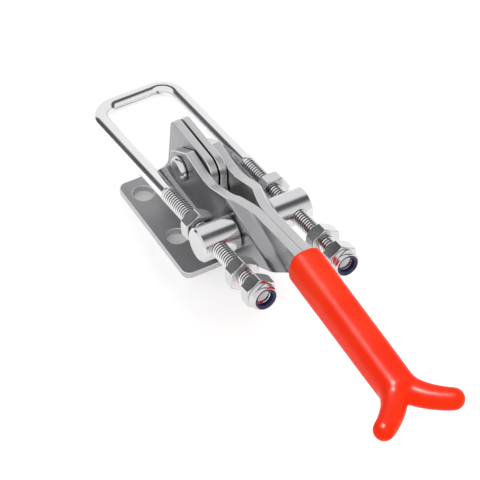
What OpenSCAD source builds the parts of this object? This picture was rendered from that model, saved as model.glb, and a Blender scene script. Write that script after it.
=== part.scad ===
// Latch-type toggle clamp: two folded base plates, a joggled two-plate handle with a dipped grip,
// and an adjustable U-bolt carried by a pair of cross-drilled trunnion barrels.
// Millimetres. +X points to the grip, +Z up, and Y = 0 is the plane of symmetry.
// The origin is the centre of the four base holes, on the mounting face.

/* [Base plates] */
// Thickness of the base sheet
plate_t = 3.2; // [2:0.1:4]
// Gap between the two flanges
seam = 0.8; // [0:0.1:1]
// From the plane of symmetry to the outer edge of a foot
foot_half_w = 25.8; // [24:0.1:32]
// From the centre of the hole pattern to the front edge of the feet
foot_front = 24; // [20:0.5:32]
// From the centre of the hole pattern to the rear edge of the feet
foot_rear = 36; // [30:0.5:38]
// Radius of the outer corners of a foot
foot_corner_r = 3.5; // [1:0.1:5]
// Inner radius of the fold between foot and flange
bend_r = 3.5; // [2:0.1:5]
// Height of the flanges above the mounting face
flange_h = 37.8; // [36:0.1:42]
// Length of the level top edge of the flanges
flange_top_l = 35; // [30:0.5:38]
// From the front edge of the feet back to the front of the top edge
flange_setback = 7; // [5:0.5:9]
// Diameter of the fixing holes
hole_d = 9; // [6:0.1:10]
// Spacing of the fixing holes along X
hole_dx = 29; // [24:0.1:32]
// Spacing of the fixing holes along Y
hole_dy = 36.6; // [35:0.1:38]

/* [Pivot] */
// Place of the pivot along X
pivot_x = 0; // [-3:0.1:3]
// Height of the pivot
pivot_z = 25.2; // [23:0.1:27]
// Diameter of the rivet shank
rivet_d = 8; // [5:0.1:10]
// Diameter of the rivet heads
rivet_head_d = 11; // [10:0.1:16]
// Height of the rivet heads
rivet_head_h = 2.4; // [1.5:0.1:3]

/* [Handle] */
// Thickness of the handle sheet
handle_t = 4; // [3:0.1:4.5]
// From the pivot forward to the nose of the plates
nose_l = 9.2; // [8:0.1:11]
// Depth of the plates below the pivot
nose_drop = 11.2; // [10:0.1:12]
// Height of the top corner over the pivot
nose_rise = 11.5; // [10.5:0.1:12.5]
// Depth of the sheet below the trunnion axis
keel = 11.5; // [9:0.1:13]
// Depth of the plates where they enter the grip
arm_h = 11; // [9:0.1:14]
// Depth of the plates at the fork
tail_h = 9; // [7:0.1:11]
// From the trunnion back to where the grip starts
arm_l = 39; // [36:0.5:48]
// Rise of the plates' middle line from the trunnion to the start of the grip
arm_rise = 14; // [11:0.1:17]
// Width of the slanting strip that brings the plates together
joggle_w = 8; // [6:0.1:9]
// Slope of that strip, down towards the grip
joggle_slope = 14; // [11:0.5:18]
// Height of the strip's lower edge over the trunnion axis
joggle_h = 9.4; // [8.5:0.1:11]

/* [Trunnion] */
// Trunnion axis behind the pivot
trunnion_dx = 44; // [40:0.1:50]
// Trunnion axis above the pivot
trunnion_dz = 2; // [0:0.1:4]
// Diameter of the barrels
barrel_d = 14.5; // [12:0.1:17]
// Length of a barrel
barrel_l = 17; // [16:0.1:20]
// Diameter of the spigot that turns in the handle
spigot_d = 7; // [5:0.1:9]

/* [U-bolt] */
// Diameter of the rod
rod_d = 7; // [4:0.1:8]
// Spacing of the two legs, centre to centre
leg_spacing = 37.1; // [34:0.1:40]
// From the trunnion axis forward to the middle of the cross bar
reach = 104; // [90:0.5:120]
// Centre-line radius of the two bends
loop_r = 9.5; // [7:0.1:14]
// Slope of the legs, down towards the cross bar
leg_slope = 7.6; // [4:0.1:9]

/* [Nuts] */
// Width across the flats
nut_af = 12.3; // [8:0.1:13]
// Height of a plain nut
nut_h = 5.8; // [4:0.1:7]
// Free thread between a front nut and its barrel
front_gap = 1.2; // [0.5:0.1:6]
// How much further forward the right front nut is set
front_lead = 4; // [0:0.1:6]
// How far that nut is turned
front_turn = 30; // [0:1:60]
// Free thread between a barrel and its rear nut
rear_gap = 14.4; // [4:0.1:16]
// Free thread between a rear nut and its lock nut
lock_gap = 6.9; // [2:0.1:12]
// Height of the hexagon of a lock nut
lock_hex_h = 5.8; // [3:0.1:7]
// Height of the round crown of a lock nut
lock_crown_h = 3.4; // [2.5:0.1:5]
// Angle of the turned corners
nut_chamfer = 30; // [20:1:40]

/* [Grip] */
// Length of the grip from its mouth to the fork
grip_l = 70; // [50:1:90]
// Fall of the grip over that length
grip_fall = 5.4; // [0:0.1:12]
// Thickness of the dipped skin
grip_wall = 2.9; // [1.5:0.1:4]
// Roundness of the long edges of the grip
grip_edge_r = 5; // [3:0.1:6]
// Length of each arm of the fork
fork_l = 21; // [14:0.5:26]
// Angle of each arm of the fork from the grip's axis
fork_angle = 46.5; // [35:0.5:60]
// Rise of each arm of the fork
fork_rise = 0.5; // [-2:0.1:4]
// Diameter of each arm of the fork at its root
root_d = 11.5; // [10:0.1:13]
// Diameter of the round tips of the fork
tip_d = 9; // [8:0.1:12]

/* [Hidden] */
$fn = 64;
ball_fn = 32;

// Clearances
side_gap = 0.4;
turn_fit = 0.05;
end_fit = 0.15;
slide_fit = 0.08;
thread_fit = 0.03;
skin_fit = 0.05;
// The tails inside the grip are coined a little thinner than the sheet
tail_relief = 0.04;

// Colours
plate_grey = [0.62, 0.62, 0.63];
bright_steel = [0.82, 0.83, 0.84];
grip_red = [0.95, 0.16, 0.06];
nylon_blue = [0.10, 0.10, 0.22];

// The two axes, and the frame of the legs
pivot = [pivot_x, 0, pivot_z];
trunnion = pivot + [trunnion_dx, 0, trunnion_dz];
leg_y = leg_spacing / 2;
rod_r = rod_d / 2;
barrel_r = barrel_d / 2;

// Layers across the clamp, from the plane of symmetry outwards
flange_in = seam / 2;
cheek_in = flange_in + plate_t + side_gap;
cheek_out = cheek_in + handle_t;
barrel_in = cheek_out + end_fit;

// Stations along a leg, measured rearwards from the trunnion axis
front_nut_at = -barrel_r - front_gap - nut_h;
rear_nut_at = barrel_r + rear_gap;
lock_nut_at = rear_nut_at + nut_h + lock_gap;
lock_h = lock_hex_h + lock_crown_h;

// Crown of a lock nut: its outside, the ring in it and the lip rolled over the ring
crown_r = 0.46 * nut_af;
crown_edge_r = 1.2;
crown_wall = 1.1;
ring_r = crown_r - crown_wall;
ring_h = 0.6 * lock_crown_h;
lip = 0.5;
rod_recess = 2.2;
rod_end = lock_nut_at + lock_h - rod_recess;

// Flange outline: where it sweeps up from the feet, and the radii of its corners
fold_h = bend_r + plate_t;
front_sweep = [0.6 * flange_setback - foot_front, 1.6 * fold_h];
rear_sweep = [foot_rear - 2 * plate_t, fold_h + 1];
front_sweep_r = 12;
rear_sweep_r = 6;
front_corner_r = 5;
rear_corner_r = 7;
rear_edge_r = 8;

// Handle outline: the corners of its top and bottom edges, and their radii
handle_corner = [pivot_x + 0.4 * nose_l, pivot_z + nose_rise];
handle_shoulder = [pivot_x + 0.48 * trunnion_dx, pivot_z + 0.71 * nose_rise];
handle_crest = [trunnion[0] - 0.1 * trunnion_dx, trunnion[2] + arm_rise - 0.5];
handle_keel = [trunnion[0] + 0.5 * keel, trunnion[2] - keel];
nose_r = 0.9 * nose_l;
brow_r = 0.65 * nose_l;
corner_r = 2.2;
shoulder_r = 14;
crest_r = 12;
keel_r = 14;
mouth_top_r = 20;
mouth_under_r = 14;

// The grip's middle line
mouth = [trunnion[0] + arm_l, trunnion[2] + arm_rise];
fork = mouth + [grip_l, -grip_fall];
grip_half_w = handle_t + grip_wall;
fork_tip = fork_l * [cos(fork_angle), sin(fork_angle)];
tail_join = mouth[0] + grip_edge_r;
tail_bend_r = 3;
tail_l = 0.5 * fork_l;
span = 400;

function unit(v) = v / norm(v);
function half_turn(a) = a > 180 ? a - 360 : a < -180 ? a + 360 : a;

// The points of one corner of an outline, rounded to radius r
function corner(before, at, after, r, steps = 10) =
    let (a = unit(before - at), b = unit(after - at), half = acos(a * b) / 2)
    let (centre = at + unit(a + b) * r / sin(half))
    let (from = at + a * r / tan(half) - centre, to = at + b * r / tan(half) - centre)
    let (start = atan2(from[1], from[0]), sweep = half_turn(atan2(to[1], to[0]) - start))
    [for (i = [0 : steps]) centre + r * [cos(start + sweep * i / steps), sin(start + sweep * i / steps)]];

// An outline from corners given as [place, radius]
function rounded(corners) =
    let (last = len(corners) - 1)
    [for (i = [0 : last])
        let (c = corners[i], before = corners[i == 0 ? last : i - 1], after = corners[i == last ? 0 : i + 1])
        each c[1] > 0 ? corner(before[0], c[0], after[0], c[1]) : [c[0]]];

// Draws a side outline, given in X and Z, as a slab across the clamp
module slab(outline, y0, y1)
    translate([0, y1, 0]) rotate([90, 0, 0]) linear_extrude(y1 - y0) polygon(outline);

// The right-hand pieces are drawn, and the left-hand ones are their mirror images
module left_hand() mirror([0, 1, 0]) children();

// A cylinder along Y
module cross_pin(at, r, y0, y1)
    translate([at[0], y1, at[2]]) rotate([90, 0, 0]) cylinder(r = r, h = y1 - y0);

// Places a piece on the right-hand leg, its own Z axis pointing rearwards
module on_leg(station, y = leg_y)
    translate(trunnion) rotate([0, -leg_slope, 0]) translate([station, y, 0]) rotate([0, 90, 0]) children();

// Section of a base plate: an upright flange and a foot, joined by a fold
module base_section() translate([flange_in, 0]) {
    translate([0, fold_h]) square([plate_t, flange_h - fold_h]);
    translate([fold_h, 0]) square([foot_half_w - flange_in - fold_h, plate_t]);
    translate([fold_h, fold_h]) intersection() {
        difference() {
            circle(r = fold_h);
            circle(r = bend_r);
        }
        translate([-fold_h, -fold_h]) square(fold_h);
    }
}

// Side outline of a flange, with the feet running on below it
function flange_outline() =
    let (front_top = flange_setback - foot_front, rear_top = front_top + flange_top_l)
    rounded([
        [[-foot_front, 0], 0],
        [[-foot_front, plate_t], 0],
        [front_sweep, front_sweep_r],
        [[front_top, flange_h], front_corner_r],
        [[rear_top, flange_h], rear_corner_r],
        [[rear_top, pivot_z], rear_edge_r],
        [rear_sweep, rear_sweep_r],
        [[foot_rear, fold_h], 0],
        [[foot_rear, 0], 0],
    ]);

// Plan of a foot, its outer corners rounded
function foot_outline() = rounded([
    [[-foot_front, 0], 0],
    [[foot_rear, 0], 0],
    [[foot_rear, foot_half_w], foot_corner_r],
    [[-foot_front, foot_half_w], foot_corner_r],
]);

module base_plate() difference() {
    intersection() {
        translate([-foot_front, 0, 0]) rotate([90, 0, 90]) linear_extrude(foot_front + foot_rear) base_section();
        linear_extrude(flange_h) polygon(foot_outline());
        slab(flange_outline(), 0, foot_half_w);
    }
    for (side = [-1, 1])
        translate([side * hole_dx / 2, hole_dy / 2, -plate_t]) cylinder(d = hole_d, h = 3 * plate_t);
    cross_pin(pivot, rivet_d / 2 + thread_fit, -plate_t, 2 * plate_t);
}

module base_left() color(plate_grey) left_hand() base_plate();

module base_right() color(plate_grey) base_plate();

// One rivet through both cheeks and both flanges, with a low round head on each side
module pivot_rivet() color(bright_steel) {
    seat = cheek_out + end_fit;
    cross_pin(pivot, rivet_d / 2, -seat, seat);
    for (side = [-1, 1])
        translate([pivot[0], side * seat, pivot[2]]) rotate([-90 * side, 0, 0]) rivet_head();
}

// A round head with a flat top and a rounded shoulder
module rivet_head() {
    shoulder = 0.8 * rivet_head_h;
    rotate_extrude() polygon(concat(
        [[0, 0]],
        [[rivet_head_d / 2, 0]],
        corner([rivet_head_d / 2, 0], [rivet_head_d / 2, rivet_head_h], [0, rivet_head_h], shoulder, 8),
        [[0, rivet_head_h]]
    ));
}

// Side outline of a handle plate, from the pivot to the end of its tail
function handle_outline() =
    let (tail_end = fork + [fork_tip[0], fork_rise], tail_half = [0, tip_d / 2 - grip_wall])
    let (arm_half = [0, arm_h / 2], fork_half = [0, tail_h / 2], nose = pivot_x - nose_l)
    rounded([
        [[nose, pivot_z + 0.3 * nose_l], brow_r],
        [handle_corner, corner_r],
        [handle_shoulder, shoulder_r],
        [handle_crest, crest_r],
        [mouth + arm_half, mouth_top_r],
        [fork + fork_half, 0],
        [tail_end + tail_half, 0],
        [tail_end - tail_half, 0],
        [fork - fork_half, 0],
        [mouth - arm_half, mouth_under_r],
        [handle_keel, keel_r],
        [[pivot_x, pivot_z - nose_drop], 0],
        [[nose, pivot_z - nose_drop], nose_r],
    ]);

// Section across the joggle, from the outer layer below it to the inner layer above it
module joggle_section() {
    steps = 12;
    function ease(t) = (1 - cos(180 * t)) / 2;
    inner = [for (i = [0 : steps]) [joggle_w * i / steps, cheek_in * (1 - ease(i / steps))]];
    outer = [for (i = [steps : -1 : 0]) inner[i] + [0, handle_t]];
    polygon(concat(
        [[-span / 2, cheek_in]], inner, [[span / 2, 0]],
        [[span / 2, handle_t]], outer, [[-span / 2, cheek_out]]
    ));
}

// The sheet with its joggle, larger than the plate that is cut from it
module joggle_sheet() {
    translate(trunnion + [0, 0, joggle_h]) rotate([0, joggle_slope, 0])
        rotate([0, -90, 0]) translate([0, 0, -span / 2]) linear_extrude(span) joggle_section();
}

// Plan of the straight arm and the tail that turns outwards into the fork
module tail_plan(start, grow) {
    steps = 12;
    turn_r = handle_t + tail_bend_r;
    middle_r = turn_r - handle_t / 2;
    turn_at = [fork[0] + (turn_r * cos(fork_angle) - middle_r) / sin(fork_angle), turn_r];
    function bend(r) = [for (i = [0 : steps])
        let (a = fork_angle * i / steps) turn_at + r * [sin(a), -cos(a)]];
    outside = bend(turn_r + grow);
    inside = bend(tail_bend_r - grow);
    tail = (tail_l + grow) * [cos(fork_angle), sin(fork_angle)];
    polygon(concat(
        [[start, -grow]], outside, [outside[steps] + tail],
        [inside[steps] + tail], [for (i = [steps : -1 : 0]) inside[i]], [[start, handle_t + grow]]
    ));
}

module handle_plate() difference() {
    intersection() {
        union() {
            intersection() {
                joggle_sheet();
                translate([tail_join - span, 0, 0]) cube(span);
            }
            linear_extrude(span) tail_plan(tail_join - grip_wall, -tail_relief);
        }
        slab(handle_outline(), 0, span);
    }
    cross_pin(pivot, rivet_d / 2 + turn_fit, 0, 2 * cheek_out);
    cross_pin(trunnion, spigot_d / 2 + turn_fit, 0, 2 * cheek_out);
}

module handle_left() color(plate_grey) left_hand() handle_plate();

module handle_right() color(plate_grey) handle_plate();

// A section of the grip: four balls at the corners of its rounded outline
module section_balls(at, half_h)
    for (y = [-1, 1], z = [-1, 1])
        translate(at + [0, y * (grip_half_w - grip_edge_r), z * (half_h - grip_edge_r)])
            sphere(r = grip_edge_r, $fn = ball_fn);

// Forked skin dipped over the two plates, open at its mouth
module grip() color(grip_red) difference() {
    start = [mouth[0] + grip_edge_r, 0, mouth[1] - grip_fall * grip_edge_r / grip_l];
    root = [fork[0], 0, fork[1]];
    union() {
        hull() {
            section_balls(start, arm_h / 2 + grip_wall);
            section_balls(root, tail_h / 2 + grip_wall);
        }
        for (side = [-1, 1]) hull() {
            translate(root) sphere(d = root_d, $fn = ball_fn);
            translate(root + [fork_tip[0], side * fork_tip[1], fork_rise]) sphere(d = tip_d, $fn = ball_fn);
        }
    }
    for (side = [0, 1]) mirror([0, side, 0]) intersection() {
        linear_extrude(span) tail_plan(mouth[0] - grip_edge_r, skin_fit);
        slab(handle_outline(), -span, span);
    }
}

// Barrel turned with a spigot, which passes through the cheek and is peened over inside
module trunnion_barrel() difference() {
    chamfer = 0.7;
    head_t = 1.6;
    head_r = spigot_d / 2 + 1.2;
    head_chamfer = 0.8;
    head_at = cheek_in - end_fit;
    translate([trunnion[0], 0, trunnion[2]]) rotate([-90, 0, 0]) rotate_extrude() polygon([
        [0, head_at - head_t],
        [head_r - head_chamfer, head_at - head_t],
        [head_r, head_at - head_t + head_chamfer],
        [head_r, head_at],
        [spigot_d / 2, head_at],
        [spigot_d / 2, barrel_in],
        [barrel_r - chamfer, barrel_in],
        [barrel_r, barrel_in + chamfer],
        [barrel_r, barrel_in + barrel_l - chamfer],
        [barrel_r - chamfer, barrel_in + barrel_l],
        [0, barrel_in + barrel_l],
    ]);
    on_leg(-barrel_d) cylinder(r = rod_r + slide_fit, h = 2 * barrel_d);
}

module trunnion_left() color(bright_steel) left_hand() trunnion_barrel();

module trunnion_right() color(bright_steel) trunnion_barrel();

// One rod bent twice into a U, its ends chamfered
module u_bolt() color(bright_steel) {
    chamfer = 0.8;
    straight = reach - loop_r;
    for (side = [0, 1]) mirror([0, side, 0]) {
        on_leg(-straight) cylinder(r = rod_r, h = straight + rod_end - chamfer);
        on_leg(rod_end - chamfer) cylinder(r1 = rod_r, r2 = rod_r - chamfer, h = chamfer);
        translate(trunnion) rotate([0, -leg_slope, 0]) translate([-straight, leg_y - loop_r, 0])
            rotate(90) rotate_extrude(angle = 90) translate([loop_r, 0]) circle(r = rod_r);
    }
    translate(trunnion) rotate([0, -leg_slope, 0]) translate([-reach, leg_y - loop_r, 0])
        rotate([90, 0, 0]) cylinder(r = rod_r, h = leg_spacing - 2 * loop_r);
}

// Hexagon with its corners turned off at both ends
module hexagon(h) {
    point_r = nut_af / sqrt(3);
    face_r = 0.48 * nut_af;
    turned = (point_r - face_r) * tan(nut_chamfer);
    intersection() {
        cylinder(r = point_r, h = h, $fn = 6);
        rotate_extrude() polygon([
            [0, 0], [face_r, 0], [point_r, turned], [point_r, h - turned], [face_r, h], [0, h],
        ]);
    }
}

module plain_nut() difference() {
    hexagon(nut_h);
    translate([0, 0, -nut_h]) cylinder(r = rod_r + thread_fit, h = 3 * nut_h);
}

module front_nut_left() color(bright_steel) left_hand() on_leg(front_nut_at) plain_nut();

// The right front nut stands further along its thread
module front_nut_right() color(bright_steel)
    on_leg(front_nut_at - front_lead) rotate(front_turn) plain_nut();

module rear_nut_left() color(bright_steel) left_hand() on_leg(rear_nut_at) plain_nut();

module rear_nut_right() color(bright_steel) on_leg(rear_nut_at) plain_nut();

// Hexagon with a round crown, whose rolled lip holds the locking ring
module lock_nut() difference() {
    union() {
        hexagon(lock_hex_h);
        rotate_extrude() polygon(concat(
            [[0, 0], [crown_r, 0]],
            corner([crown_r, 0], [crown_r, lock_h], [0, lock_h], crown_edge_r, 6),
            [[0, lock_h]]
        ));
    }
    translate([0, 0, -lock_h]) cylinder(r = rod_r + thread_fit, h = 3 * lock_h);
    translate([0, 0, lock_h - ring_h - lip]) cylinder(r = ring_r + thread_fit, h = ring_h + 2 * lip);
}

module lock_nut_left() color(bright_steel) left_hand() on_leg(lock_nut_at) lock_nut();

module lock_nut_right() color(bright_steel) on_leg(lock_nut_at) lock_nut();

// Locking ring seated in the crown
module nylon_ring() translate([0, 0, lock_h - ring_h - lip + thread_fit]) difference() {
    cylinder(r = ring_r, h = ring_h);
    translate([0, 0, -ring_h]) cylinder(r = rod_r + thread_fit, h = 3 * ring_h);
}

module nylon_ring_left() color(nylon_blue) left_hand() on_leg(lock_nut_at) nylon_ring();

module nylon_ring_right() color(nylon_blue) on_leg(lock_nut_at) nylon_ring();

base_left();
base_right();
pivot_rivet();
handle_left();
handle_right();
grip();
trunnion_left();
trunnion_right();
u_bolt();
front_nut_left();
front_nut_right();
rear_nut_left();
rear_nut_right();
lock_nut_left();
lock_nut_right();
nylon_ring_left();
nylon_ring_right();
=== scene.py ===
# %% [markdown]
# # A pull-action toggle clamp
#
# The clamp is made of folded sheet, turned barrels, nuts and one long bent rod, with a soft red grip
# dipped over the end of its handle. The exact solids are loaded first, as a frame that never moves.
# Everything that follows either finishes one of those solids with a material, or stands in for it with a
# richer mesh.

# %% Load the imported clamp
import math

import bmesh
import bpy
from mathutils import Matrix, Vector


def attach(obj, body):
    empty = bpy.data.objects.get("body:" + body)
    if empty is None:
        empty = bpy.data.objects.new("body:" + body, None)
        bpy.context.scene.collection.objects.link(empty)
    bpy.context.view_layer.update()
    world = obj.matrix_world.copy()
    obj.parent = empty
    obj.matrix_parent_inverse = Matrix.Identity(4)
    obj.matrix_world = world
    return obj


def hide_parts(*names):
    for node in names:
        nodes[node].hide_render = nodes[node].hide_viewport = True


MM = 0.001

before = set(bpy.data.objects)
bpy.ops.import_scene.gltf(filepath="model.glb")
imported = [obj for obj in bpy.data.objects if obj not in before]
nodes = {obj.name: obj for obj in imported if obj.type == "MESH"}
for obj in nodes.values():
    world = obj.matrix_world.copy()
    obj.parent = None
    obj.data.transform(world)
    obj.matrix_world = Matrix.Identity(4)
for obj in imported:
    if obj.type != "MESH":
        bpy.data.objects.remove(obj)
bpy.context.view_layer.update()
scene = bpy.context.scene

# %% [markdown]
# ## Camera
#
# A long lens from about a metre away keeps the clamp's parallel edges nearly parallel, which is how a
# product photograph is usually taken. The camera first looks level at the origin, and is then nudged the
# shortest way round to its aim, so that the picture doesn't roll.

# %% Camera
CAMERA_SIDE = Vector((0.62076, -0.34564, 0.70370))
CAMERA_DISTANCE = 1038.6 * MM
CAMERA_AIM = Vector((17.6, 10.3, -10.5)) * MM
CAMERA_LENS_MM = 185.4
SENSOR_MM = 36.0

camera = bpy.data.objects.new("camera", bpy.data.cameras.new("camera"))
camera.data.sensor_width = SENSOR_MM
camera.data.lens = CAMERA_LENS_MM
camera.location = CAMERA_SIDE * CAMERA_DISTANCE
level = (-CAMERA_SIDE).to_track_quat("-Z", "Y")
nudge = (-CAMERA_SIDE).rotation_difference(CAMERA_AIM - camera.location)
camera.rotation_euler = (nudge @ level).to_euler()
scene.collection.objects.link(camera)
scene.camera = camera
scene.view_settings.view_transform = "Standard"
print("camera at", [round(c, 3) for c in camera.location])

# %% [markdown]
# ## A helper for node trees
#
# Shaders and Geometry Nodes are built the same way: add a node, set it up, and link what feeds it. One
# small function does all three, so the trees further down read as a list of steps.


# %% Node helper
def add(tree, kind, inputs=None, **settings):
    """Adds a node, sets its properties, then sets or links its inputs by name or by number."""
    node = tree.nodes.new(kind)
    for key, value in settings.items():
        setattr(node, key, value)
    for key, value in (inputs or {}).items():
        if isinstance(value, bpy.types.NodeSocket):
            tree.links.new(value, node.inputs[key])
        else:
            node.inputs[key].default_value = value
    return node


def calc(tree, operation, first, second=0.0, third=0.0):
    """One Math node; returns its result."""
    return add(tree, "ShaderNodeMath", {0: first, 1: second, 2: third}, operation=operation).outputs[0]


def blend_colour(tree, factor, first, second):
    """A Mix node between two colours; returns the mixed colour."""
    mix = add(tree, "ShaderNodeMix", {0: factor, 6: first, 7: second}, data_type="RGBA")
    return mix.outputs[2]


def remap(tree, value, low, high, to_low, to_high, steps="LINEAR"):
    """Stretches a value from one range to another, clamped at both ends."""
    sockets = {"Value": value, "From Min": low, "From Max": high, "To Min": to_low, "To Max": to_high}
    return add(tree, "ShaderNodeMapRange", sockets, interpolation_type=steps).outputs["Result"]


# %% [markdown]
# ## Light
#
# Polished steel shows its surroundings more than its own colour. The surroundings here are a white tent
# whose two halves don't quite meet: a dark slit runs from the far left, over the top, to the right. Each
# round rod mirrors that slit as one dark band, which is what makes it read as metal. A soft lamp gives
# the shadows a side, and nothing mirrors it. Two small lamps do the opposite: they light nothing, and are
# only mirrored, as the streaks of gloss on the grip; once the grip is made, they are told to shine on it
# alone. What the camera sees directly stays white.

# %% Studio
TENT_WHITE = (1.0, 1.0, 1.0, 1.0)
TENT_DARK = (0.10, 0.10, 0.105, 1.0)
TENT_LEVEL = 1.0
ACROSS_SLIT = Vector((0.604, -0.786, 0.128)).normalized()
SLIT_OFFSET = 0.05
SLIT_HALF = 0.10
SLIT_FADE = 0.18
LAMP_SIDE = Vector((0.35, 0.55, 0.76))
LAMP_DISTANCE = 1.3
LAMP_SIZE = 0.9
LAMP_WATTS = 4.0
GLINT_DISTANCE = 1.3
GLINTS = (
    ("ridge_glint", Vector((-0.44, -0.20, 0.87)), 0.70, 17.0),
    ("arm_glint", Vector((0.05, -0.20, 0.98)), 0.40, 130.0),
)

world = bpy.data.worlds.new("studio")
world.use_nodes = True
scene.world = world
tree = world.node_tree
tree.nodes.clear()
direction = add(tree, "ShaderNodeTexCoord").outputs["Generated"]
across = add(tree, "ShaderNodeVectorMath", {0: direction, 1: ACROSS_SLIT}, operation="DOT_PRODUCT")
off_slit = calc(tree, "ABSOLUTE", calc(tree, "ADD", across.outputs["Value"], SLIT_OFFSET))
slit = remap(tree, off_slit, SLIT_HALF, SLIT_HALF + SLIT_FADE, 1.0, 0.0, "SMOOTHSTEP")
tent = blend_colour(tree, slit, TENT_WHITE, TENT_DARK)
seen = add(tree, "ShaderNodeLightPath").outputs["Is Camera Ray"]
tent_light = add(tree, "ShaderNodeBackground", {"Color": tent, "Strength": TENT_LEVEL})
backdrop = add(tree, "ShaderNodeBackground", {"Color": TENT_WHITE, "Strength": 1.0})
choice = add(tree, "ShaderNodeMixShader", {0: seen, 1: tent_light.outputs[0], 2: backdrop.outputs[0]})
add(tree, "ShaderNodeOutputWorld", {"Surface": choice.outputs[0]})


def hang_lamp(name, side, distance, size, watts):
    """A square lamp hung in one direction from the clamp and turned to face it."""
    lamp = bpy.data.objects.new(name, bpy.data.lights.new(name, "AREA"))
    lamp.data.size = size
    lamp.data.energy = watts
    lamp.location = side.normalized() * distance
    lamp.rotation_euler = (-side).to_track_quat("-Z", "Y").to_euler()
    scene.collection.objects.link(lamp)
    print(name, "at", [round(c, 2) for c in lamp.location])
    return lamp


hang_lamp("overhead_lamp", LAMP_SIDE, LAMP_DISTANCE, LAMP_SIZE, LAMP_WATTS).visible_glossy = False
glint_lamps = [hang_lamp(name, side, GLINT_DISTANCE, size, watts) for name, side, size, watts in GLINTS]
for lamp in glint_lamps:
    lamp.visible_diffuse = False

# %% [markdown]
# ## Floor
#
# The clamp lies on white paper. A plain white floor would still come out grey wherever the lamp falls
# off, so the paper also glows a little where the camera or a reflection sees it. The glow lifts the open
# paper to white and leaves the soft shadow round the clamp. Under the feet it nearly stops, a painted
# shade seen through the fixing holes.

# %% Paper floor
FLOOR_HALF = 4.0
PAPER_WHITE = (0.94, 0.94, 0.94, 1.0)
PAPER_GLOW = 0.36
# painted shade: the patch under the feet where the paper's glow is cut
SHADE_CENTRE = Vector((6.0, 0.0, 0.0)) * MM
SHADE_HALF_X = 29.0 * MM
SHADE_HALF_Y = 25.0 * MM
SHADE_GLOW = 0.03

paper = bpy.data.materials.new("white_paper")
paper.use_nodes = True
tree = paper.node_tree
tree.nodes.clear()
path = add(tree, "ShaderNodeLightPath")
in_view = calc(tree, "MAXIMUM", path.outputs["Is Camera Ray"], path.outputs["Is Glossy Ray"])
in_view = calc(tree, "MAXIMUM", in_view, path.outputs["Is Transmission Ray"])
place = add(tree, "ShaderNodeTexCoord").outputs["Object"]
off = add(tree, "ShaderNodeVectorMath", {0: place, 1: SHADE_CENTRE}, operation="SUBTRACT").outputs[0]
off = add(tree, "ShaderNodeSeparateXYZ", {0: off})
past_x = calc(tree, "GREATER_THAN", calc(tree, "ABSOLUTE", off.outputs["X"]), SHADE_HALF_X)
past_y = calc(tree, "GREATER_THAN", calc(tree, "ABSOLUTE", off.outputs["Y"]), SHADE_HALF_Y)
glow_level = remap(tree, calc(tree, "MAXIMUM", past_x, past_y), 0.0, 1.0, SHADE_GLOW, PAPER_GLOW)
sheet = add(tree, "ShaderNodeBsdfDiffuse", {"Color": PAPER_WHITE})
glow = add(tree, "ShaderNodeEmission", {"Strength": calc(tree, "MULTIPLY", in_view, glow_level)})
both = add(tree, "ShaderNodeAddShader", {0: sheet.outputs[0], 1: glow.outputs[0]})
add(tree, "ShaderNodeOutputMaterial", {"Surface": both.outputs[0]})

floor_mesh = bpy.data.meshes.new("floor")
corners = [(x * FLOOR_HALF, y * FLOOR_HALF, 0) for x, y in ((-1, -1), (1, -1), (1, 1), (-1, 1))]
floor_mesh.from_pydata(corners, [], [(0, 1, 2, 3)])
floor_mesh.materials.append(paper)
floor = bpy.data.objects.new("floor", floor_mesh)
scene.collection.objects.link(floor)
print("floor laid")

# %% [markdown]
# ## Shared surface effects
#
# Two effects turn up in several finishes. Grain is the fine directional mark that rolling, drawing or
# turning leaves in steel; it is noise stretched along one direction. Handling is the broad, soft
# unevenness of a surface that has been touched and wiped. Each is a node group, built once and placed
# wherever it is needed.


# %% Surface groups
FINE_DETAIL = 3.0
FINE_ROUGHNESS = 0.6
SCRATCH_SCALE = 0.21
SCRATCH_FROM = 0.60
SCRATCH_TO = 0.72
PATCH_FROM = 0.30
PATCH_TO = 0.70


def new_group(name, inputs, outputs):
    """A shader group with named float or vector sockets; returns the tree, its input and its output node."""
    group = bpy.data.node_groups.new(name, "ShaderNodeTree")
    for label, kind, value in inputs:
        socket = group.interface.new_socket(label, in_out="INPUT", socket_type=kind)
        socket.default_value = value
    for label in outputs:
        group.interface.new_socket(label, in_out="OUTPUT", socket_type="NodeSocketFloat")
    return group, group.nodes.new("NodeGroupInput"), group.nodes.new("NodeGroupOutput")


grain_group, given, result = new_group(
    "grain",
    [("Coordinates", "NodeSocketVector", (0, 0, 0)), ("Stretch", "NodeSocketVector", (1, 1, 1)),
     ("Lines per metre", "NodeSocketFloat", 2000.0)],
    ["Lines", "Scratches"],
)
stretched = add(grain_group, "ShaderNodeVectorMath",
                {0: given.outputs["Coordinates"], 1: given.outputs["Stretch"]},
                operation="MULTIPLY").outputs[0]
fine = add(grain_group, "ShaderNodeTexNoise",
           {"Vector": stretched, "Scale": given.outputs["Lines per metre"], "Detail": FINE_DETAIL,
            "Roughness": FINE_ROUGHNESS})
coarse_scale = calc(grain_group, "MULTIPLY", given.outputs["Lines per metre"], SCRATCH_SCALE)
coarse = add(grain_group, "ShaderNodeTexNoise", {"Vector": stretched, "Scale": coarse_scale, "Detail": 1.0})
scratch = remap(grain_group, coarse.outputs[0], SCRATCH_FROM, SCRATCH_TO, 0.0, 1.0)
grain_group.links.new(fine.outputs[0], result.inputs["Lines"])
grain_group.links.new(scratch, result.inputs["Scratches"])

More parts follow.
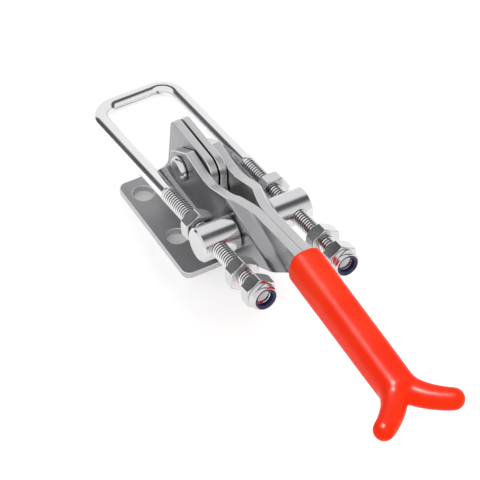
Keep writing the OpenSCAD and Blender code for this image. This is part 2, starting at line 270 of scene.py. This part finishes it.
handling_group, given, result = new_group(
    "handling",
    [("Coordinates", "NodeSocketVector", (0, 0, 0)), ("Patches per metre", "NodeSocketFloat", 60.0)],
    ["Patches", "Swell"],
)
broad = add(handling_group, "ShaderNodeTexNoise",
            {"Vector": given.outputs["Coordinates"], "Scale": given.outputs["Patches per metre"],
             "Detail": 0.0})
patches = remap(handling_group, broad.outputs[0], PATCH_FROM, PATCH_TO, 0.0, 1.0, "SMOOTHSTEP")
handling_group.links.new(patches, result.inputs["Patches"])
handling_group.links.new(broad.outputs[0], result.inputs["Swell"])
print("surface groups:", [grain_group.name, handling_group.name])

# %% [markdown]
# ## Steel finishes
#
# All the metal is stainless steel. Sheet steel is rolled and satin, and its cut edges have been tumbled;
# their lighter colour is partly painted light, for the light that their narrow tops catch. The inner
# faces of the handle and the feet are duller, and their paler colour is painted light. Rod, barrels and
# nuts are drawn or turned and shine more. Where a piece carries a value for its grooves, as the threads
# do, the finish darkens with it: painted shade in the thread roots and on the cut rod ends.


# %% Steel
SHADE_ATTRIBUTE = "groove_shade"
# painted shade: the dark colour that thread roots and cut rod ends are blended towards
GROOVE_SHADE_COLOUR = (0.035, 0.035, 0.038, 1.0)
GRAIN_SHARE = 0.5
TONE_LOW = 0.2
TONE_HIGH = 0.8
ROUGH_SPREAD = 0.25
SCRATCH_ROUGH = 0.5
GRAIN_BUMP = 0.2


def steel(name, dark, light, roughness, stretch, lines, depth):
    """A stainless finish: grain along one direction, patches of handling, and a faint bump from the grain."""
    material = bpy.data.materials.new(name)
    material.use_nodes = True
    tree = material.node_tree
    shader = tree.nodes["Principled BSDF"]
    shader.inputs["Metallic"].default_value = 1.0
    place = add(tree, "ShaderNodeTexCoord").outputs["Object"]
    grain = add(tree, "ShaderNodeGroup", node_tree=grain_group)
    tree.links.new(place, grain.inputs["Coordinates"])
    grain.inputs["Stretch"].default_value = stretch
    grain.inputs["Lines per metre"].default_value = lines
    handling = add(tree, "ShaderNodeGroup", node_tree=handling_group)
    tree.links.new(place, handling.inputs["Coordinates"])
    tone = calc(tree, "ADD", calc(tree, "MULTIPLY", grain.outputs["Lines"], GRAIN_SHARE),
                calc(tree, "MULTIPLY", handling.outputs["Patches"], 1.0 - GRAIN_SHARE))
    unshaded = blend_colour(tree, tone, (*dark, 1.0), (*light, 1.0))
    # painted shade: the groove value darkens the colour in thread roots and on cut rod ends
    groove_shade = add(tree, "ShaderNodeAttribute", attribute_name=SHADE_ATTRIBUTE).outputs["Fac"]
    tree.links.new(blend_colour(tree, groove_shade, unshaded, GROOVE_SHADE_COLOUR), shader.inputs["Base Color"])
    spread = ROUGH_SPREAD * roughness
    rough = remap(tree, tone, TONE_LOW, TONE_HIGH, roughness - spread, roughness + spread)
    scratched = calc(tree, "MULTIPLY", grain.outputs["Scratches"], SCRATCH_ROUGH * spread)
    rough = calc(tree, "ADD", rough, scratched)
    tree.links.new(rough, shader.inputs["Roughness"])
    bump = add(tree, "ShaderNodeBump",
               {"Strength": GRAIN_BUMP, "Distance": depth, "Height": grain.outputs["Lines"]})
    tree.links.new(bump.outputs[0], shader.inputs["Normal"])
    return material


ALONG_X = (0.03, 1.0, 1.0)
AROUND_Y = (0.03, 1.0, 0.03)
ALL_WAYS = (0.7, 0.7, 0.7)
FINE_LINES = 5200.0
sheet_steel = steel("sheet_steel", (0.31, 0.31, 0.32), (0.37, 0.37, 0.38),
                    0.25, ALONG_X, FINE_LINES, 0.010 * MM)
# painted light: a paler, duller steel that lifts the dark inward faces of the handle plates
inner_sheet_painted_light = steel("inner_sheet_painted_light", (0.60, 0.60, 0.61), (0.70, 0.70, 0.71),
                    0.45, ALONG_X, FINE_LINES, 0.010 * MM)
# painted light: a paler, duller steel that brightens the feet
foot_sheet_painted_light = steel("foot_sheet_painted_light", (0.36, 0.36, 0.37), (0.43, 0.43, 0.44),
                   0.55, ALONG_X, FINE_LINES, 0.010 * MM)
# partly painted light: the cut faces are tumbled, and their lighter colour stands for the light their narrow
# tops catch
tumbled_edge_painted_light = steel("tumbled_edge_painted_light", (0.50, 0.50, 0.51), (0.64, 0.64, 0.65),
                   0.32, ALL_WAYS, 1800.0, 0.020 * MM)
# painted highlight: a much lighter, glossier steel on the eased edges of plates and nut corners
painted_edge_highlight = steel("painted_edge_highlight", (0.74, 0.74, 0.75), (0.82, 0.82, 0.83),
                   0.15, ALL_WAYS, 2000.0, 0.005 * MM)
bright_rod = steel("bright_rod", (0.78, 0.78, 0.79), (0.86, 0.86, 0.87),
                   0.12, ALONG_X, 2200.0, 0.005 * MM)
bright_turned = steel("bright_turned", (0.66, 0.66, 0.67), (0.74, 0.74, 0.75),
                      0.17, AROUND_Y, 3400.0, 0.005 * MM)
bright_nut = steel("bright_nut", (0.60, 0.60, 0.61), (0.70, 0.70, 0.71),
                   0.21, ALONG_X, FINE_LINES, 0.002 * MM)
satin_head = steel("satin_head", (0.36, 0.36, 0.37), (0.42, 0.42, 0.43),
                   0.36, ALL_WAYS, FINE_LINES, 0.004 * MM)
print("steel finishes ready")

# %% [markdown]
# ## Plastics
#
# The grip is soft vinyl: the handle is warmed and dipped, so the skin has no seam, a gloss and a slightly
# uneven surface. The locking rings in the crowned nuts are dark blue nylon, dull where the thread has cut
# them.


# %% Vinyl and nylon
DULL_PATCH = 1.25
SWELL_BUMP = 0.3


def plastic(name, shade, colour, roughness, sheen, bump_depth, patches):
    """A plastic finish whose colour and gloss vary softly over the surface."""
    material = bpy.data.materials.new(name)
    material.use_nodes = True
    tree = material.node_tree
    shader = tree.nodes["Principled BSDF"]
    shader.inputs["Specular IOR Level"].default_value = sheen
    place = add(tree, "ShaderNodeTexCoord").outputs["Object"]
    handling = add(tree, "ShaderNodeGroup", node_tree=handling_group)
    tree.links.new(place, handling.inputs["Coordinates"])
    handling.inputs["Patches per metre"].default_value = patches
    patch = handling.outputs["Patches"]
    tree.links.new(blend_colour(tree, patch, (*shade, 1.0), (*colour, 1.0)), shader.inputs["Base Color"])
    rough = remap(tree, patch, 0.0, 1.0, roughness, DULL_PATCH * roughness)
    tree.links.new(rough, shader.inputs["Roughness"])
    swell = handling.outputs["Swell"]
    bump = add(tree, "ShaderNodeBump", {"Strength": SWELL_BUMP, "Distance": bump_depth, "Height": swell})
    tree.links.new(bump.outputs[0], shader.inputs["Normal"])
    return material


red_vinyl = plastic("red_vinyl", (1.00, 0.026, 0.002), (1.00, 0.038, 0.003), 0.30, 0.07, 0.00008, 45.0)
blue_nylon = plastic("blue_nylon", (0.012, 0.013, 0.060), (0.022, 0.024, 0.110), 0.42, 0.5, 0.0001, 600.0)
print("plastic finishes ready")

# %% [markdown]
# ## Folded and stamped sheet
#
# A press leaves sheet with a small rounding on one side and a small burr on the other, and tumbling evens
# both out. That rounding catches the light as a thin bright line, which is most of what makes sheet look
# real. The solids have sharp edges, so each plate is copied, its loose triangles are joined into flat
# faces again, and a Bevel modifier eases the edges. The bevel's new faces get a much lighter, glossier
# steel, a painted highlight along every eased edge. The cut faces, which run through the sheet's
# thickness, get a lighter steel than the rolled face of the sheet, partly painted light, and the inward
# faces of the handle and the faces of the feet get a paler one, painted light. The right-hand plates are
# the left-hand ones mirrored, so both sides are eased alike.

# %% Eased plates
EASE_WIDTH = 0.3 * MM
EASE_SEGMENTS = 2
EASE_ANGLE = math.radians(38)
SMOOTH_ANGLE = math.radians(32)
FLAT_ANGLE = math.radians(0.4)
WELD = 0.002 * MM
PLATE_WELD = 0.06 * MM
SHORT_EDGE = 0.3 * MM
FLANGE_T = 3.7 * MM
FOLD_END = 7.0 * MM
STEEP = 0.5
FLAT_WEIGHT = 100
ROLLED, CUT, DULL_PAINTED_LIGHT = 0, 1, 2


def finish_mesh(piece, name):
    """Replaces a piece by a plain mesh of what its modifiers make, and returns the new piece."""
    mesh = bpy.data.meshes.new_from_object(piece.evaluated_get(bpy.context.evaluated_depsgraph_get()))
    mesh.name = name
    done = bpy.data.objects.new(name, mesh)
    scene.collection.objects.link(done)
    bpy.data.objects.remove(piece)
    return done


def joined_copy(node, plate):
    """A copy of a solid's mesh with its loose triangles joined and its flat faces made whole.

    A plate also loses the edges that are too short to ease, and a right-hand plate mirrors its left-hand one.
    """
    mirrored = plate and node.endswith("right")
    mesh = nodes[node.replace("right", "left") if mirrored else node].data.copy()
    shape = bmesh.new()
    shape.from_mesh(mesh)
    bmesh.ops.remove_doubles(shape, verts=shape.verts, dist=PLATE_WELD)
    bmesh.ops.dissolve_limit(shape, angle_limit=FLAT_ANGLE, verts=shape.verts, edges=shape.edges)
    if plate:
        bmesh.ops.dissolve_degenerate(shape, edges=shape.edges, dist=SHORT_EDGE)
        bmesh.ops.dissolve_limit(shape, angle_limit=FLAT_ANGLE, verts=shape.verts, edges=shape.edges)
    if mirrored:
        bmesh.ops.scale(shape, vec=(1, -1, 1), verts=shape.verts)
        bmesh.ops.reverse_faces(shape, faces=shape.faces)
    shape.to_mesh(mesh)
    shape.free()
    mesh.materials.clear()
    return mesh


def in_base(face):
    """Whether a face of a folded base is rolled or cut: through the flange, the foot and the fold in turn."""
    if abs(face.center.y) < FLANGE_T:
        return CUT if abs(face.normal.y) < STEEP else ROLLED
    # past the fold lie the feet, whose flat faces get the paler steel, painted light
    if abs(face.center.y) > FOLD_END:
        return CUT if abs(face.normal.z) < STEEP else DULL_PAINTED_LIGHT
    return CUT if abs(face.normal.x) > STEEP else ROLLED


def in_handle(face):
    """Whether a face of an upright handle plate is cut, rolled, or rolled and turned inwards."""
    if abs(face.normal.y) < STEEP:
        return CUT
    # inward faces get the paler steel, painted light
    return DULL_PAINTED_LIGHT if face.normal.y * face.center.y < 0 else ROLLED


def eased(node, name, body, finishes, finish_of, corner=None):
    """A copy of a solid with its edges eased, standing for that solid; the last finish goes on the easing.

    Without a rule for its corners it is a plate, and every sharp edge is eased.
    """
    mesh = joined_copy(node, plate=corner is None)
    for finish in finishes:
        mesh.materials.append(finish)
    mesh.polygons.foreach_set("material_index", [finish_of(face) for face in mesh.polygons])
    rough = bpy.data.objects.new(name + "_rough", mesh)
    scene.collection.objects.link(rough)
    bevel = rough.modifiers.new("ease", "BEVEL")
    bevel.width = EASE_WIDTH
    bevel.segments = EASE_SEGMENTS
    bevel.use_clamp_overlap = False
    bevel.limit_method = "ANGLE"
    bevel.angle_limit = EASE_ANGLE
    if corner:
        bevel.limit_method = "WEIGHT"
        weights = mesh.attributes.new("bevel_weight_edge", "FLOAT", "EDGE")
        weights.data.foreach_set("value", [float(corner(mesh, edge)) for edge in mesh.edges])
    # the easing gets the last finish, which for plates and nuts is the painted edge highlight
    bevel.material = len(finishes) - 1
    bevel.miter_outer = "MITER_ARC"
    mesh.shade_smooth()
    weigh = rough.modifiers.new("flat faces", "WEIGHTED_NORMAL")
    weigh.weight = FLAT_WEIGHT
    piece = finish_mesh(rough, name)
    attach(piece, body)
    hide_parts(node)
    return piece


base_finishes = (sheet_steel, tumbled_edge_painted_light, foot_sheet_painted_light, painted_edge_highlight)
handle_finishes = (sheet_steel, tumbled_edge_painted_light, inner_sheet_painted_light, painted_edge_highlight)
for side in ("left", "right"):
    base = eased("base_" + side, "base_plate_" + side, "base", base_finishes, in_base)
    plate = eased("handle_" + side, "handle_plate_" + side, "handle", handle_finishes, in_handle)
    print(side, "plates have", len(base.data.polygons), "and", len(plate.data.polygons), "faces")

# %% [markdown]
# ## The bent rod and its threads
#
# The U-bolt is one straight rod, threaded at both ends and then bent twice. A path with two rounded
# corners, swept with a circle, gives the plain part. A rolled thread is a strip wound round a core: here
# it is a flat grid of points, rolled up so that each row climbs by one pitch in a turn. The rows then
# follow the helix exactly, and a few rows a turn are enough for a crisp ridge. Both are rules with a few
# sizes, so Geometry Nodes make them.

# %% Thread tree
TRUNNION = Vector((44.0, 0.0, 27.2)) * MM
LEG_SLOPE = math.radians(7.6)
LEG_SPACING = 37.1 * MM
REACH = 104.0 * MM
BEND_RADIUS = 9.5 * MM
ROD_RADIUS = 3.5 * MM
ROD_END = 41.35 * MM
THREAD_START = -36.4 * MM
THREAD_PITCH = 1.4 * MM
THREAD_DEPTH = 0.80 * MM
ROD_SIDES = 32
ROWS_PER_TURN = 8
ROW_NUDGE = 0.001
RUN_IN_TURNS = 2.5
CREST_FLAT = 0.14
ROOT_FLAT = 0.24
# painted shade: how far up the thread flanks the dark reaches, and how dark the cut end gets
SHADE_REACH = 0.85
END_SHADE = 0.65


def new_tree(name, inputs):
    """A Geometry Nodes tree with named float inputs; returns the tree, its inputs and its output node."""
    tree = bpy.data.node_groups.new(name, "GeometryNodeTree")
    tree.interface.new_socket("Geometry", in_out="OUTPUT", socket_type="NodeSocketGeometry")
    for label, value in inputs.items():
        tree.interface.new_socket(label, in_out="INPUT", socket_type="NodeSocketFloat").default_value = value
    given = tree.nodes.new("NodeGroupInput")
    return tree, given.outputs, tree.nodes.new("NodeGroupOutput")


def combine(tree, x=0.0, y=0.0, z=0.0):
    """A Combine XYZ node; returns its vector."""
    return add(tree, "ShaderNodeCombineXYZ", {0: x, 1: y, 2: z}).outputs[0]


def thread_surface(tree, length, pitch, outer, depth):
    """A closed threaded stud along +Z from 0 to length; returns its geometry."""
    core = calc(tree, "SUBTRACT", outer, depth)
    turns = calc(tree, "ADD", calc(tree, "CEIL", calc(tree, "DIVIDE", length, pitch)), 1.0)
    rows = calc(tree, "ADD", calc(tree, "MULTIPLY", turns, float(ROWS_PER_TURN)), 1.0)
    grid = add(tree, "GeometryNodeMeshGrid",
               {"Size X": 1.0, "Size Y": 1.0, "Vertices X": ROD_SIDES + 1, "Vertices Y": rows})
    spot = add(tree, "ShaderNodeSeparateXYZ", {0: add(tree, "GeometryNodeInputPosition").outputs[0]})
    around = calc(tree, "ADD", spot.outputs["X"], 0.5)
    up = calc(tree, "MULTIPLY", calc(tree, "ADD", spot.outputs["Y"], 0.5), turns)
    climbed = calc(tree, "MULTIPLY", calc(tree, "SUBTRACT", calc(tree, "ADD", up, around), 1.0), pitch)
    height = calc(tree, "MINIMUM", calc(tree, "MAXIMUM", climbed, 0.0), length)
    row = calc(tree, "FRACT", calc(tree, "ADD", up, ROW_NUDGE))
    off_crest = calc(tree, "ABSOLUTE", calc(tree, "MULTIPLY_ADD", row, 2.0, -1.0))
    ridge = remap(tree, off_crest, CREST_FLAT, 1.0 - ROOT_FLAT, 1.0, 0.0)
    run_in = remap(tree, height, 0.0, calc(tree, "MULTIPLY", pitch, RUN_IN_TURNS), 0.0, 1.0)
    cut = calc(tree, "MULTIPLY", calc(tree, "SUBTRACT", 1.0, ridge), run_in)
    threaded = calc(tree, "SUBTRACT", outer, calc(tree, "MULTIPLY", cut, depth))
    chamfered = calc(tree, "ADD", core, calc(tree, "SUBTRACT", length, height))
    radius = calc(tree, "MINIMUM", threaded, chamfered)
    angle = calc(tree, "MULTIPLY", around, math.tau)
    place = combine(tree, calc(tree, "MULTIPLY", radius, calc(tree, "COSINE", angle)),
                    calc(tree, "MULTIPLY", radius, calc(tree, "SINE", angle)), height)
    # painted shade: darkest in the roots, fading up the flanks, none in the run-in
    painted_groove_shade = calc(tree, "MULTIPLY", remap(tree, ridge, 0.0, SHADE_REACH, 1.0, 0.0), run_in)
    marked = add(tree, "GeometryNodeStoreNamedAttribute",
                 {"Geometry": grid.outputs["Mesh"], "Name": SHADE_ATTRIBUTE, "Value": painted_groove_shade},
                 data_type="FLOAT", domain="POINT")
    rolled = add(tree, "GeometryNodeSetPosition", {"Geometry": marked.outputs[0], "Position": place})
    end = add(tree, "GeometryNodeMeshCircle", {"Vertices": ROD_SIDES, "Radius": core}, fill_type="NGON")
    # the cut end of the stud gets painted shade as well
    shaded_end = add(tree, "GeometryNodeStoreNamedAttribute",
                   {"Geometry": end.outputs[0], "Name": SHADE_ATTRIBUTE, "Value": END_SHADE},
                   data_type="FLOAT", domain="POINT")
    lid = add(tree, "GeometryNodeTransform",
              {"Geometry": shaded_end.outputs[0], "Translation": combine(tree, z=length)})
    start = add(tree, "GeometryNodeMeshCircle", {"Vertices": ROD_SIDES, "Radius": outer}, fill_type="NGON")
    under = add(tree, "GeometryNodeFlipFaces", {"Mesh": start.outputs[0]})
    stud = add(tree, "GeometryNodeJoinGeometry")
    for part in (rolled.outputs[0], lid.outputs[0], under.outputs[0]):
        tree.links.new(part, stud.inputs[0])
    closed = add(tree, "GeometryNodeMergeByDistance", {"Geometry": stud.outputs[0], "Distance": WELD})
    return closed.outputs[0]


rod_sizes = {
    "Leg Spacing": LEG_SPACING, "Reach": REACH, "Bend Radius": BEND_RADIUS, "Rod Radius": ROD_RADIUS,
    "Rod End": ROD_END, "Thread Start": THREAD_START, "Pitch": THREAD_PITCH, "Depth": THREAD_DEPTH,
}
rod_tree, size, rod_out = new_tree("bent_rod", rod_sizes)
print("sizes of the rod:", rod_sizes)

# %% [markdown]
# The plain part starts and ends where the threads start. The rod is drawn lying flat with its legs along
# X, and the last step tilts it to the slope of the legs and carries it to the trunnion.

# %% Bent rod
BEND_STEPS = 18

half = calc(rod_tree, "MULTIPLY", size["Leg Spacing"], 0.5)
other = calc(rod_tree, "MULTIPLY", half, -1.0)
front = calc(rod_tree, "MULTIPLY", size["Reach"], -1.0)
frame_line = add(rod_tree, "GeometryNodeCurvePrimitiveQuadrilateral", {
    "Point 1": combine(rod_tree, size["Thread Start"], half), "Point 2": combine(rod_tree, front, half),
    "Point 3": combine(rod_tree, front, other), "Point 4": combine(rod_tree, size["Thread Start"], other),
}, mode="POINTS")
open_line = add(rod_tree, "GeometryNodeSetSplineCyclic",
                {"Geometry": frame_line.outputs[0], "Cyclic": False})
bends = add(rod_tree, "GeometryNodeFilletCurve",
            {"Curve": open_line.outputs[0], "Count": BEND_STEPS, "Radius": size["Bend Radius"]}, mode="POLY")
ring = add(rod_tree, "GeometryNodeCurvePrimitiveCircle",
           {"Resolution": ROD_SIDES, "Radius": size["Rod Radius"]})
plain = add(rod_tree, "GeometryNodeCurveToMesh",
            {"Curve": bends.outputs[0], "Profile Curve": ring.outputs[0], "Fill Caps": True})
stud_length = calc(rod_tree, "SUBTRACT", size["Rod End"], size["Thread Start"])
stud = thread_surface(rod_tree, stud_length, size["Pitch"], size["Rod Radius"], size["Depth"])
laid = add(rod_tree, "GeometryNodeTransform", {"Geometry": stud, "Rotation": (0.0, math.pi / 2, 0.0)})
legs = add(rod_tree, "GeometryNodeMeshLine", {
    "Count": 2, "Start Location": combine(rod_tree, size["Thread Start"], other),
    "Offset": combine(rod_tree, 0.0, size["Leg Spacing"]),
})
studs = add(rod_tree, "GeometryNodeInstanceOnPoints",
            {"Points": legs.outputs[0], "Instance": laid.outputs[0]})
whole = add(rod_tree, "GeometryNodeJoinGeometry")
rod_tree.links.new(plain.outputs[0], whole.inputs[0])
rod_tree.links.new(studs.outputs[0], whole.inputs[0])
real = add(rod_tree, "GeometryNodeRealizeInstances", {"Geometry": whole.outputs[0]})
hung = add(rod_tree, "GeometryNodeTransform",
           {"Geometry": real.outputs[0], "Translation": TRUNNION, "Rotation": (0.0, -LEG_SLOPE, 0.0)})
dressed = add(rod_tree, "GeometryNodeSetMaterial", {"Geometry": hung.outputs[0], "Material": bright_rod})
rod_tree.links.new(dressed.outputs[0], rod_out.inputs[0])


def grow(tree, sizes, name):
    """Runs a tree with its named sizes and returns the result as a plain mesh object."""
    seed = bpy.data.objects.new(name + "_seed", bpy.data.meshes.new(name + "_seed"))
    scene.collection.objects.link(seed)
    maker = seed.modifiers.new("maker", "NODES")
    maker.node_group = tree
    for item in tree.interface.items_tree:
        if item.in_out == "INPUT" and item.name in sizes:
            maker[item.identifier] = sizes[item.name]
    return finish_mesh(seed, name)


def face_outwards(piece):
    """Turns every face of a closed mesh outwards and smooths it up to a set angle."""
    shape = bmesh.new()
    shape.from_mesh(piece.data)
    bmesh.ops.recalc_face_normals(shape, faces=shape.faces)
    shape.to_mesh(piece.data)
    shape.free()
    piece.data.shade_smooth()
    piece.data.set_sharp_from_angle(angle=SMOOTH_ANGLE)


rod = grow(rod_tree, rod_sizes, "bent_rod")
face_outwards(rod)
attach(rod, "hook")
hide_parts("u_bolt")
reach_of_thread = max(v.co.x for v in rod.data.vertices)
print("rod has", len(rod.data.polygons), "faces and ends at X", round(reach_of_thread / MM, 2), "mm")

# %% [markdown]
# ## Nuts
#
# A nut is cut from drawn hexagon bar, whose six corners are slightly round. The chamfers at its ends are
# in the solid already. Only the six long corners are eased, and they are told apart from the other edges
# by their place and direction: along the leg, and further out than the flats.

# %% Nuts
LEG_AXIS = Vector((math.cos(LEG_SLOPE), 0.0, math.sin(LEG_SLOPE)))
NUT_CORNER_OUT = 6.5 * MM
NUT_CORNER_MIN = 2.0 * MM
ALONG = 0.99


def nut_corner(mesh, edge):
    """Whether an edge of a nut is one of its six long corners."""
    first, second = (mesh.vertices[index].co for index in edge.vertices)
    run = second - first
    if run.length < NUT_CORNER_MIN or abs(run.normalized().dot(LEG_AXIS)) < ALONG:
        return False
    leg = TRUNNION + Vector((0.0, math.copysign(LEG_SPACING / 2, first.y), 0.0))
    out = (first - leg) - (first - leg).dot(LEG_AXIS) * LEG_AXIS
    return out.length > NUT_CORNER_OUT


for side in ("left", "right"):
    for place in ("front", "rear", "lock"):
        node = f"{place}_nut_{side}"
        # the six long corners get the painted edge highlight
        nut = eased(node, f"{place}_hexagon_{side}", "hook", (bright_nut, painted_edge_highlight),
                    lambda face: 0, nut_corner)
        print(node, "has", len(nut.data.polygons), "faces")

# %% [markdown]
# ## Pivot rivet
#
# A rivet's head is pressed, so its flat face runs into a soft shoulder. The shoulder gets the brighter
# turned steel, a painted highlight round the head. No edge is eased. The rivet is copied and joined like
# the plates all the same, because only whole flat faces shade flat next to a round shoulder.

# %% Rivet
HEAD_FLAT = 0.98


def in_rivet(face):
    """The flat of a head is satin, and its shoulder gets the bright turned steel, a painted highlight."""
    return 0 if abs(face.normal.y) > HEAD_FLAT else 1


rivet = eased("pivot_rivet", "pivot_rivet_heads", "base", (satin_head, bright_turned), in_rivet,
              lambda mesh, edge: False)
print("rivet has", len(rivet.data.polygons), "faces")

# %% [markdown]
# ## Turned parts and rings
#
# These solids already have their real shape, chamfers included, so they stay and only get their finish.


# %% Finishes for the kept solids
def dress(node, material):
    """Gives a kept solid its material."""
    piece = nodes[node]
    piece.data.materials.clear()
    piece.data.materials.append(material)


for side in ("left", "right"):
    dress("trunnion_" + side, bright_turned)
    dress("nylon_ring_" + side, blue_nylon)
print("kept solids dressed")

# %% [markdown]
# ## The dipped grip
#
# Vinyl flows while it cures, so every inside corner of the grip is filled in and nothing on it is sharp.
# The grip could be modelled face by face, but a fork is awkward to lay out that way. Here the body is a
# hull of balls, each arm is a chain of them, and the mouth is cut off square. A voxel remesh melts all
# into one skin, and smoothing round the fork fills its corners.

# %% Grip
MOUTH = Vector((83.0, 0.0, 41.2)) * MM
FORK = Vector((153.0, 0.0, 35.8)) * MM
GRIP_HALF_W = 7.0 * MM
GRIP_HALF_H_MOUTH = 8.25 * MM
GRIP_HALF_H_FORK = 7.4 * MM
GRIP_EDGE_R = 5.2 * MM
MOUTH_TRIM = 0.9 * MM
FORK_LENGTH = 21.0 * MM
FORK_ANGLE = math.radians(46.5)
FORK_RISE = 0.5 * MM
ARM_ROOT_R = 6.2 * MM
ARM_TIP_R = 4.5 * MM
ARM_START = Vector((-9.0, 0.3, 0.0)) * MM
ARM_ELBOW = Vector((5.5, 0.8, 0.0)) * MM
ARM_STEPS = 8
BALL_SEGMENTS = 24
VOXEL = 0.7 * MM
MELT_RADIUS = 19.0 * MM
MELT_FADE = 8.0 * MM
MELT_STEPS = 16
CROTCH_AT = 0.3 * FORK_LENGTH
EVEN_STEPS = 14
SMOOTH_FACTOR = 0.5


def hull(shape, balls):
    """Wraps balls, each a place and a radius, in one convex skin; only the points of the balls are used."""
    for at, radius in balls:
        bmesh.ops.create_uvsphere(shape, u_segments=BALL_SEGMENTS, v_segments=BALL_SEGMENTS // 2,
                                  radius=radius, matrix=Matrix.Translation(at))
    bmesh.ops.delete(shape, geom=shape.edges[:], context="EDGES_FACES")
    wrapped = bmesh.ops.convex_hull(shape, input=shape.verts[:])
    spare = [item for item in wrapped["geom_interior"] if isinstance(item, bmesh.types.BMVert)]
    bmesh.ops.delete(shape, geom=spare, context="VERTS")


def trim_mouth(shape):
    """Cuts off what lies ahead of the grip's mouth and closes the cut."""
    everything = shape.verts[:] + shape.edges[:] + shape.faces[:]
    cut = bmesh.ops.bisect_plane(shape, geom=everything, plane_co=MOUTH + Vector((MOUTH_TRIM, 0, 0)),
                                 plane_no=FORK - MOUTH, clear_inner=True)
    rim = [item for item in cut["geom_cut"] if isinstance(item, bmesh.types.BMEdge)]
    if rim:
        bmesh.ops.contextual_create(shape, geom=rim)


def section(at, half_h):
    """The four corner balls of one section of the grip."""
    y, z = GRIP_HALF_W - GRIP_EDGE_R, half_h - GRIP_EDGE_R
    return [(at + Vector((0, sy * y, sz * z)), GRIP_EDGE_R) for sy in (-1, 1) for sz in (-1, 1)]


shapes = [section(MOUTH, GRIP_HALF_H_MOUTH) + section(FORK, GRIP_HALF_H_FORK)]
tip = Vector((FORK_LENGTH * math.cos(FORK_ANGLE), FORK_LENGTH * math.sin(FORK_ANGLE), FORK_RISE))


def arm_ball(side, step):
    """One ball of an arm: its middle line bends from the body, round an elbow, out to the tip."""
    t = step / ARM_STEPS
    at = (1 - t) ** 2 * ARM_START + 2 * t * (1 - t) * ARM_ELBOW + t ** 2 * tip
    return FORK + Vector((at.x, side * at.y, at.z)), ARM_ROOT_R + t * (ARM_TIP_R - ARM_ROOT_R)


for side in (-1, 1):
    shapes += [[arm_ball(side, step), arm_ball(side, step + 1)] for step in range(ARM_STEPS)]

grip_mesh = bpy.data.meshes.new("grip_hulls")
for balls in shapes:
    shape = bmesh.new()
    shape.from_mesh(grip_mesh)
    part = bmesh.new()
    hull(part, balls)
    trim_mouth(part)
    bmesh.ops.recalc_face_normals(part, faces=part.faces)
    scratch_mesh = bpy.data.meshes.new("part")
    part.to_mesh(scratch_mesh)
    part.free()
    shape.from_mesh(scratch_mesh)
    shape.to_mesh(grip_mesh)
    shape.free()
    bpy.data.meshes.remove(scratch_mesh)

grip_hulls = bpy.data.objects.new("grip_hulls", grip_mesh)
scene.collection.objects.link(grip_hulls)
melt = grip_hulls.modifiers.new("melt", "REMESH")
melt.mode = "VOXEL"
melt.voxel_size = VOXEL
grip_skin = finish_mesh(grip_hulls, "grip_skin")

near_fork = grip_skin.vertex_groups.new(name="near_fork")
crotch = FORK + Vector((CROTCH_AT, 0, 0))
for vertex in grip_skin.data.vertices:
    weight = (MELT_RADIUS - (vertex.co - crotch).length) / MELT_FADE
    near_fork.add([vertex.index], max(0.0, min(1.0, weight)), "REPLACE")
even = grip_skin.modifiers.new("even", "SMOOTH")
even.factor = SMOOTH_FACTOR
even.iterations = EVEN_STEPS
flow = grip_skin.modifiers.new("flow", "SMOOTH")
flow.factor = SMOOTH_FACTOR
flow.iterations = MELT_STEPS
flow.vertex_group = "near_fork"
grip_piece = finish_mesh(grip_skin, "dipped_grip")
face_outwards(grip_piece)
grip_piece.data.materials.clear()
grip_piece.data.materials.append(red_vinyl)
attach(grip_piece, "handle")
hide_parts("grip")
glossed = bpy.data.collections.new("glossed")
glossed.objects.link(grip_piece)
for lamp in glint_lamps:
    lamp.light_linking.receiver_collection = glossed
print("grip has", len(grip_piece.data.polygons), "faces")
